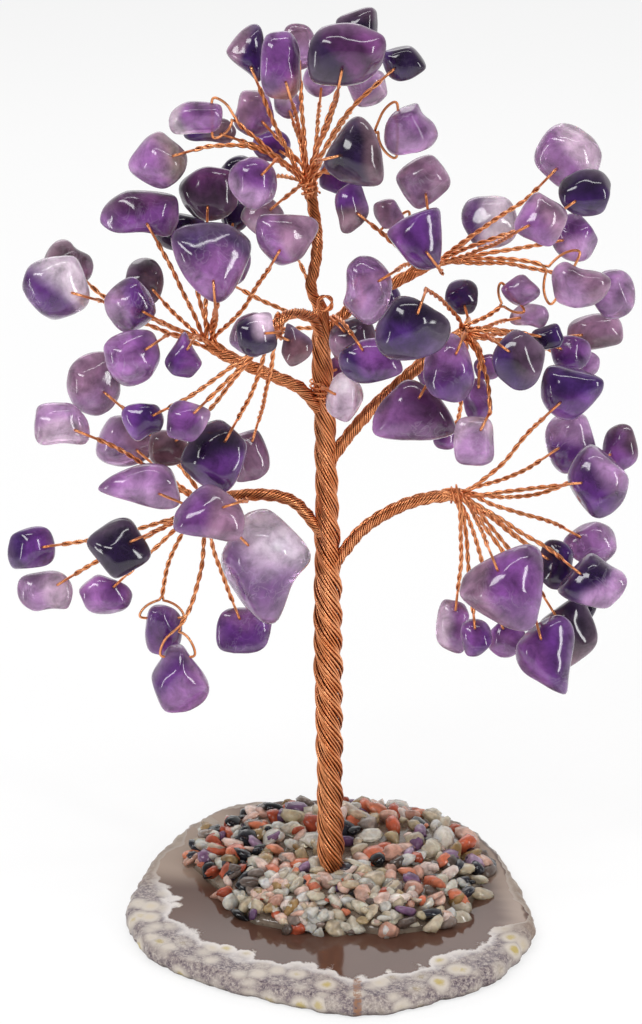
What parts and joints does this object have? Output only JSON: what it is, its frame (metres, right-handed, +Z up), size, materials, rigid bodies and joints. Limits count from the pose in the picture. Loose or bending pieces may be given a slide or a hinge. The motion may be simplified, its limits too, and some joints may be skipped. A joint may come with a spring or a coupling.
{
  "type": "gemstone tree ornament",
  "caption": "Small tree of tumbled amethyst stones threaded on twisted copper wire branches, standing in a heap of gem chips glued to an agate slice.",
  "frame": {"origin": "on the underside of the agate slice, below the foot of the trunk", "axes": "+Z up along the trunk, the viewer of the picture stands at -Y, +X to the viewer's right"},
  "size_m": [0.1149, 0.0834, 0.1734],
  "materials": {
    "agate": "polished banded agate, glossy taupe with cream spots and a toothed pale rim",
    "glue": "clear set glue, glossy, mostly hidden by the chips",
    "clear_quartz": "tumbled clear to milky quartz chips, glossy",
    "rose_quartz": "tumbled rose quartz chips, glossy",
    "carnelian": "tumbled carnelian chips, glossy orange red",
    "tourmaline": "tumbled black tourmaline chips, glossy",
    "citrine": "tumbled citrine chips, glossy amber",
    "amethyst": "tumbled amethyst chips, glossy",
    "smoky": "tumbled smoky quartz chips, glossy",
    "copper": null,
    "amethyst_dark": "tumbled dark amethyst, glossy and slightly clear",
    "amethyst_violet": "tumbled violet amethyst with paler zones, glossy and slightly clear",
    "amethyst_lilac": "tumbled pale lilac amethyst, glossy and half clear"
  },
  "bodies": {
    "base": {"agate_slice": "agate", "chips_amethyst": "amethyst", "chips_carnelian": "carnelian", "chips_citrine": "citrine", "chips_clear_quartz": "clear_quartz", "chips_rose_quartz": "rose_quartz", "chips_smoky": "smoky", "chips_tourmaline": "tourmaline", "glue_bed": "glue", "top_knot": "copper", "trunk_binding": "copper", "trunk_bundle": "copper", "trunk_stones": "amethyst_violet", "trunk_wires": "copper"},
    "back": {"back_dark_stones": "amethyst_dark", "back_rope": "copper", "back_violet_stones": "amethyst_violet", "back_wires": "copper"},
    "crown": {"crown_binding": "copper", "crown_dark_stones": "amethyst_dark", "crown_lilac_stones": "amethyst_lilac", "crown_rope": "copper", "crown_violet_stones": "amethyst_violet", "crown_wires": "copper"},
    "crown_loop_stone_left": {"crown_loop_stone_left": "amethyst_violet"},
    "crown_loop_stone_right": {"crown_loop_stone_right": "amethyst_lilac"},
    "hanging_stone_large": {"hanging_stone_large": "amethyst_violet"},
    "hanging_stone_small": {"hanging_stone_small": "amethyst_violet"},
    "left_inner": {"left_inner_dark_stones": "amethyst_dark", "left_inner_lilac_stones": "amethyst_lilac", "left_inner_rope": "copper", "left_inner_violet_stones": "amethyst_violet", "left_inner_wires": "copper"},
    "left_lower": {"left_lower_dark_stones": "amethyst_dark", "left_lower_lilac_stones": "amethyst_lilac", "left_lower_rope": "copper", "left_lower_violet_stones": "amethyst_violet", "left_lower_wires": "copper"},
    "left_upper": {"left_upper_dark_stones": "amethyst_dark", "left_upper_lilac_stones": "amethyst_lilac", "left_upper_rope": "copper", "left_upper_violet_stones": "amethyst_violet", "left_upper_wires": "copper"},
    "right_lower": {"right_lower_binding": "copper", "right_lower_dark_stones": "amethyst_dark", "right_lower_lilac_stones": "amethyst_lilac", "right_lower_rope": "copper", "right_lower_violet_stones": "amethyst_violet", "right_lower_wires": "copper"},
    "right_middle": {"right_middle_dark_stones": "amethyst_dark", "right_middle_lilac_stones": "amethyst_lilac", "right_middle_rope": "copper", "right_middle_violet_stones": "amethyst_violet", "right_middle_wires": "copper"},
    "right_upper": {"right_upper_dark_stones": "amethyst_dark", "right_upper_lilac_stones": "amethyst_lilac", "right_upper_rope": "copper", "right_upper_violet_stones": "amethyst_violet", "right_upper_wires": "copper"}
  },
  "joints": [
    {"name": "crown_nod", "type": "hinge", "parent": "base", "child": "crown", "pos_m": [-0.00242, 0, 0.12003], "axis": [1, 0, 0], "range_deg": [-6, 6]},
    {"name": "left_upper_swing", "type": "hinge", "parent": "base", "child": "left_upper", "pos_m": [-0.00511, -0.00151, 0.10466], "axis": [0, 0, 1], "range_deg": [-8, 10]},
    {"name": "left_inner_bend", "type": "hinge", "parent": "base", "child": "left_inner", "pos_m": [-0.00278, -0.00246, 0.11801], "axis": [0.564, -0.8258, 0], "range_deg": [-3, 4]},
    {"name": "left_lower_bend", "type": "hinge", "parent": "base", "child": "left_lower", "pos_m": [-0.00443, -0.00076, 0.08034], "axis": [0.2144, -0.9767, 0], "range_deg": [-3, 10]},
    {"name": "right_upper_swing", "type": "hinge", "parent": "base", "child": "right_upper", "pos_m": [0.00095, 0.00076, 0.11664], "axis": [0, 0, 1], "range_deg": [-10, 10]},
    {"name": "right_middle_swing", "type": "hinge", "parent": "base", "child": "right_middle", "pos_m": [0.00243, -0.00038, 0.09443], "axis": [0, 0, 1], "range_deg": [-4, 8]},
    {"name": "right_lower_bend", "type": "hinge", "parent": "base", "child": "right_lower", "pos_m": [0.00321, -0.00038, 0.07416], "axis": [0.1064, 0.9943, 0], "range_deg": [-1, 10]},
    {"name": "back_bend", "type": "hinge", "parent": "base", "child": "back", "pos_m": [-0.00153, 0.00265, 0.11007], "axis": [-0.9994, -0.0356, 0], "range_deg": [-8, 8]},
    {"name": "loop_stone_left_turn", "type": "hinge", "parent": "crown", "child": "crown_loop_stone_left", "pos_m": [-0.02077, -0.00416, 0.15451], "axis": [0, 0, 1], "range_deg": [-20, 20]},
    {"name": "loop_stone_right_turn", "type": "hinge", "parent": "crown", "child": "crown_loop_stone_right", "pos_m": [0.01147, -0.00189, 0.15184], "axis": [0, 0, -1], "range_deg": [-20, 20]},
    {"name": "hanging_stone_small_swing", "type": "hinge", "parent": "left_lower", "child": "hanging_stone_small", "pos_m": [-0.03092, -0.00492, 0.06158], "axis": [-1, 0, 0], "range_deg": [-20, 20]},
    {"name": "hanging_stone_large_swing", "type": "hinge", "parent": "left_lower", "child": "hanging_stone_large", "pos_m": [-0.02768, -0.01438, 0.05788], "axis": [-1, 0, 0], "range_deg": [-20, 20]}
  ]
}
